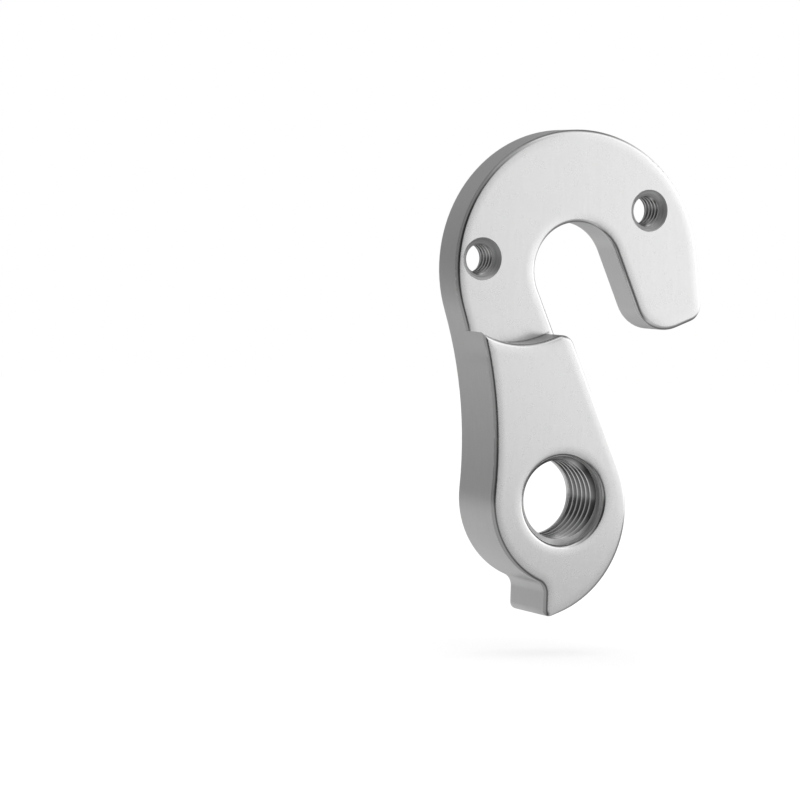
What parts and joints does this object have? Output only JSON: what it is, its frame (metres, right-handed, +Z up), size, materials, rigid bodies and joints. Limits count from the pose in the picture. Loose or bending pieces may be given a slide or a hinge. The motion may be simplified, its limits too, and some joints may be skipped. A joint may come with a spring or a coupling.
{
  "type": "bicycle derailleur hanger",
  "caption": "Flat machined hook with a thicker stepped body below: the hook screws to the frame around the rear axle slot, and the body's threaded bore holds the rear derailleur.",
  "frame": {"origin": "centre of the derailleur thread, halfway through the body's thickness", "axes": "+Z up as it hangs on the bicycle, +X towards the front of the bicycle, -Y outboard, along the bores"},
  "size_m": [0.032, 0.0086, 0.0549],
  "materials": {
    "aluminium": "satin, tumbled after machining, with bright rounded edges"
  },
  "bodies": {
    "root": {"hanger": "aluminium"}
  },
  "joints": []
}
